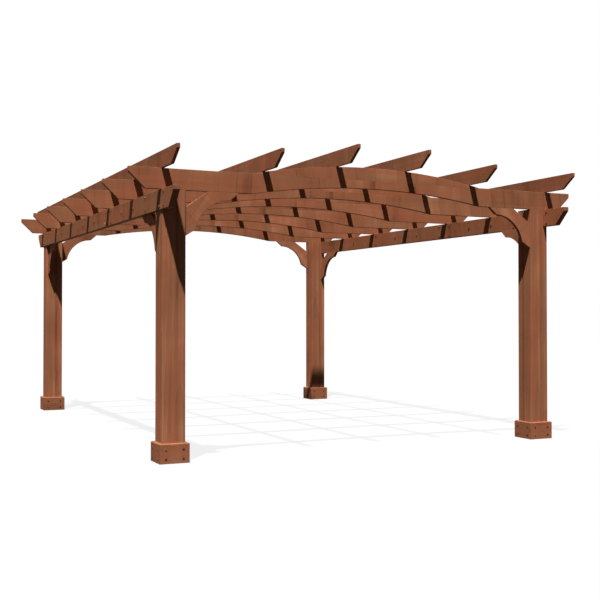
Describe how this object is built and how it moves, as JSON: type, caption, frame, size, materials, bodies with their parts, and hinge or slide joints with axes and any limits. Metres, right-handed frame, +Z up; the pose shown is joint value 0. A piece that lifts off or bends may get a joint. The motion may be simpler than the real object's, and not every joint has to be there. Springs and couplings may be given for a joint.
{
  "type": "wooden pergola",
  "caption": "Free-standing timber pergola: posts on skirted feet, side beams, arched rafters with sloping tips, top boards laid across them, and curved corner braces.",
  "frame": {"origin": "on the ground, midway between the four posts", "axes": "+X across the pergola, along the rafters; +Y from the front to the back, along the side beams; +Z up"},
  "size_m": [4.63, 6.15, 2.7528],
  "materials": {
    "posts": "matt brown-red stain over straight-grained softwood",
    "skirting": "matt brown-red stain over sawn softwood",
    "framing": "matt brown-red stain over sawn softwood",
    "top_boards": "matt brown-red stain over sawn softwood",
    "screws": "dark brown coated screw heads"
  },
  "bodies": {
    "root": {"post_front_left": "posts", "post_front_right": "posts", "post_back_left": "posts", "post_back_right": "posts", "skirt_front_left": "skirting", "skirt_front_right": "skirting", "skirt_back_left": "skirting", "skirt_back_right": "skirting", "beam_left": "framing", "beam_right": "framing", "rafter_1": "framing", "rafter_2": "framing", "rafter_3": "framing", "rafter_4": "framing", "rafter_5": "framing", "rafter_6": "framing", "rafter_7": "framing", "crown_1": "framing", "crown_2": "framing", "crown_3": "framing", "crown_4": "framing", "crown_5": "framing", "crown_6": "framing", "crown_7": "framing", "top_board_1": "top_boards", "top_board_2": "top_boards", "top_board_3": "top_boards", "top_board_4": "top_boards", "top_board_5": "top_boards", "top_board_6": "top_boards", "cross_brace_front_left": "framing", "cross_brace_front_right": "framing", "cross_brace_back_left": "framing", "cross_brace_back_right": "framing", "side_brace_front_left": "framing", "side_brace_front_right": "framing", "side_brace_back_left": "framing", "side_brace_back_right": "framing"}
  },
  "joints": []
}
